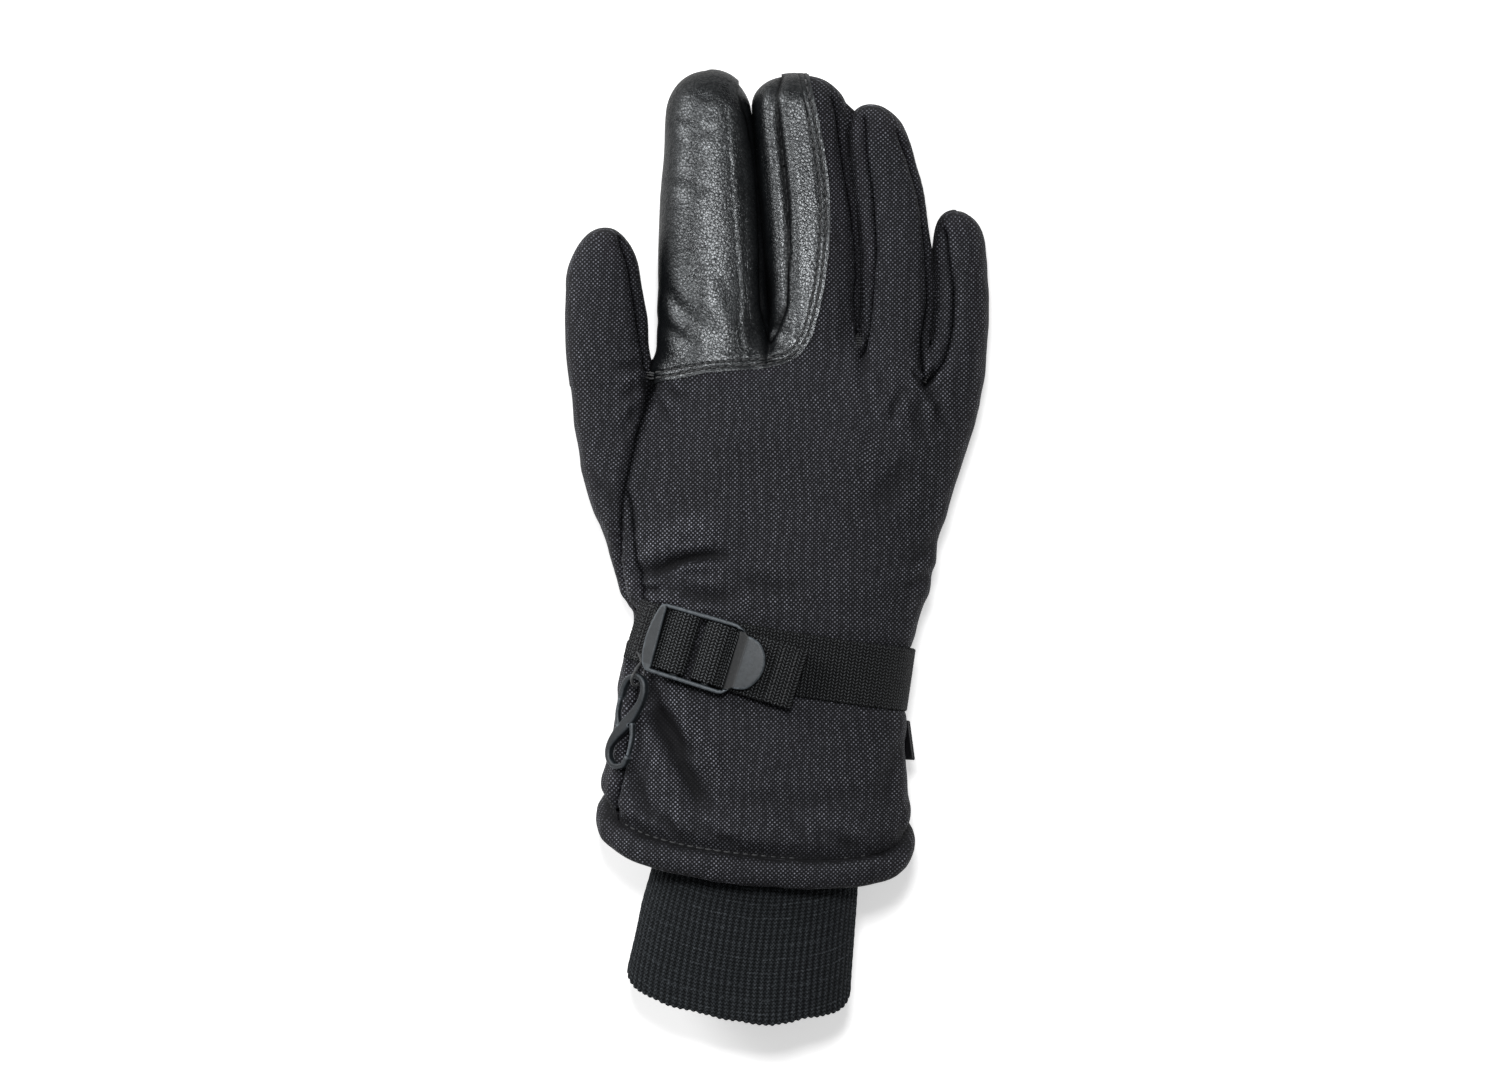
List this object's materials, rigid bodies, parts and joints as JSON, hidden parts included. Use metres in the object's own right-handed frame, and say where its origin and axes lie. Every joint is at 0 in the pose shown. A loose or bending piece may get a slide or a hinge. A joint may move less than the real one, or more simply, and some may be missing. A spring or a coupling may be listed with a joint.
{
  "type": "ski glove",
  "caption": "Insulated right-hand ski glove with a woven gauntlet, leather palm and index finger, knit inner cuff, buckled wrist strap and a plastic snap clip.",
  "frame": {"origin": "centre of the glove's outline on the surface it lies on, palm down", "axes": "+Y from the cuff towards the fingertips, +X towards the little finger, +Z out of the back of the hand"},
  "size_m": [0.1306, 0.2953, 0.0505],
  "materials": {
    "woven_shell": "matte plain-woven cloth",
    "leather": "satin grained",
    "insulation": "matte lofted fibre",
    "fleece_lining": "brushed",
    "knit": "matte rib knit",
    "webbing": "matte herringbone webbing",
    "plastic": "satin moulded",
    "cord": "round cord"
  },
  "bodies": {
    "gauntlet": {"gauntlet_back_panel": "woven_shell", "gauntlet_palm_panel": "woven_shell", "gauntlet_insulation": "insulation", "gauntlet_lining": "fleece_lining", "hem_binding": "woven_shell", "knit_cuff": "knit", "wrist_strap": "webbing", "buckle_anchor_webbing": "webbing", "clip_cord_loop": "cord"},
    "hand": {"hand_back_panel": "woven_shell", "palm_panel": "leather", "thumb_back_base": "woven_shell", "thumb_palm_base": "leather", "hand_insulation": "insulation", "hand_lining": "fleece_lining"},
    "thumb": {"thumb_tip_back": "woven_shell", "thumb_tip_palm": "leather", "thumb_tip_insulation": "insulation", "thumb_tip_lining": "fleece_lining"},
    "knuckles": {"knuckle_back_panel": "woven_shell", "knuckle_leather_patch": "leather", "knuckle_palm_panel": "leather", "fourchette_index_middle": "leather", "fourchette_middle_ring": "woven_shell", "fourchette_ring_little": "woven_shell", "knuckle_insulation": "insulation", "knuckle_lining": "fleece_lining"},
    "index_finger": {"index_back_panel": "leather", "index_palm_panel": "leather", "index_wall_little_side": "leather", "index_insulation": "insulation", "index_lining": "fleece_lining"},
    "middle_finger": {"middle_back_leather": "leather", "middle_back_woven": "woven_shell", "middle_palm_panel": "leather", "middle_wall_thumb_side": "leather", "middle_wall_little_side": "woven_shell", "middle_insulation": "insulation", "middle_lining": "fleece_lining"},
    "ring_finger": {"ring_back_panel": "woven_shell", "ring_palm_panel": "leather", "ring_wall_thumb_side": "woven_shell", "ring_wall_little_side": "woven_shell", "ring_insulation": "insulation", "ring_lining": "fleece_lining"},
    "little_finger": {"little_back_panel": "woven_shell", "little_palm_panel": "leather", "little_wall_thumb_side": "woven_shell", "little_insulation": "insulation", "little_lining": "fleece_lining"},
    "buckle": {"ladder_lock_buckle": "plastic", "strap_wrap_fixed_bar": "webbing", "strap_wrap_grip_bar": "webbing"},
    "strap_tail": {"strap_free_end": "webbing"},
    "clip": {"snap_clip": "plastic"},
    "clip_gate_upper": {"clip_upper_gate": "plastic"},
    "clip_gate_lower": {"clip_lower_gate": "plastic"},
    "side_flap": {"side_tab": "webbing"}
  },
  "joints": [
    {"name": "wrist_bend", "type": "hinge", "parent": "gauntlet", "child": "hand", "pos_m": [0, -0.002, 0.0205], "axis": [-1, 0, 0], "range_deg": [-30, 30]},
    {"name": "knuckle_bend", "type": "hinge", "parent": "hand", "child": "knuckles", "pos_m": [0, 0.046, 0.0185], "axis": [-1, 0, 0], "range_deg": [0, 60]},
    {"name": "thumb_bend", "type": "hinge", "parent": "hand", "child": "thumb", "pos_m": [-0.052, 0.066, 0.0145], "axis": [-1, 0, 0], "range_deg": [0, 55]},
    {"name": "index_bend", "type": "hinge", "parent": "knuckles", "child": "index_finger", "pos_m": [-0.021, 0.093, 0.0155], "axis": [-1, 0, 0], "range_deg": [0, 75]},
    {"name": "middle_bend", "type": "hinge", "parent": "knuckles", "child": "middle_finger", "pos_m": [0.01, 0.093, 0.0155], "axis": [-1, 0, 0], "range_deg": [0, 75]},
    {"name": "ring_bend", "type": "hinge", "parent": "knuckles", "child": "ring_finger", "pos_m": [0.036, 0.088, 0.015], "axis": [-1, 0, 0], "range_deg": [0, 75]},
    {"name": "little_bend", "type": "hinge", "parent": "knuckles", "child": "little_finger", "pos_m": [0.057, 0.076, 0.0135], "axis": [-1, 0, 0], "range_deg": [0, 75]},
    {"name": "buckle_tilt", "type": "hinge", "parent": "gauntlet", "child": "buckle", "pos_m": [-0.03941, -0.02685, 0.04068], "axis": [-0.2974, -0.9548, 0], "range_deg": [0, 30]},
    {"name": "strap_pull", "type": "slide", "parent": "buckle", "child": "strap_tail", "axis": [0.9445, -0.2942, 0.1461], "range_m": [0, 0.008]},
    {"name": "clip_swing", "type": "hinge", "parent": "gauntlet", "child": "clip", "pos_m": [-0.04373, -0.0423, 0.03891], "axis": [-0.6664, 0.0656, 0.7427], "range_deg": [-25, 25]},
    {"name": "upper_gate_flex", "type": "hinge", "parent": "clip", "child": "clip_gate_upper", "pos_m": [-0.04921, -0.05601, 0.03521], "axis": [0.6664, -0.0656, -0.7427], "range_deg": [0, 12]},
    {"name": "lower_gate_flex", "type": "hinge", "parent": "clip", "child": "clip_gate_lower", "pos_m": [-0.04491, -0.05598, 0.03907], "axis": [0.6664, -0.0656, -0.7427], "range_deg": [0, 12]},
    {"name": "side_tab_flap", "type": "hinge", "parent": "gauntlet", "child": "side_flap", "pos_m": [0.0411, -0.0602, 0.0175], "axis": [0, 1, 0], "range_deg": [0, 60]}
  ]
}
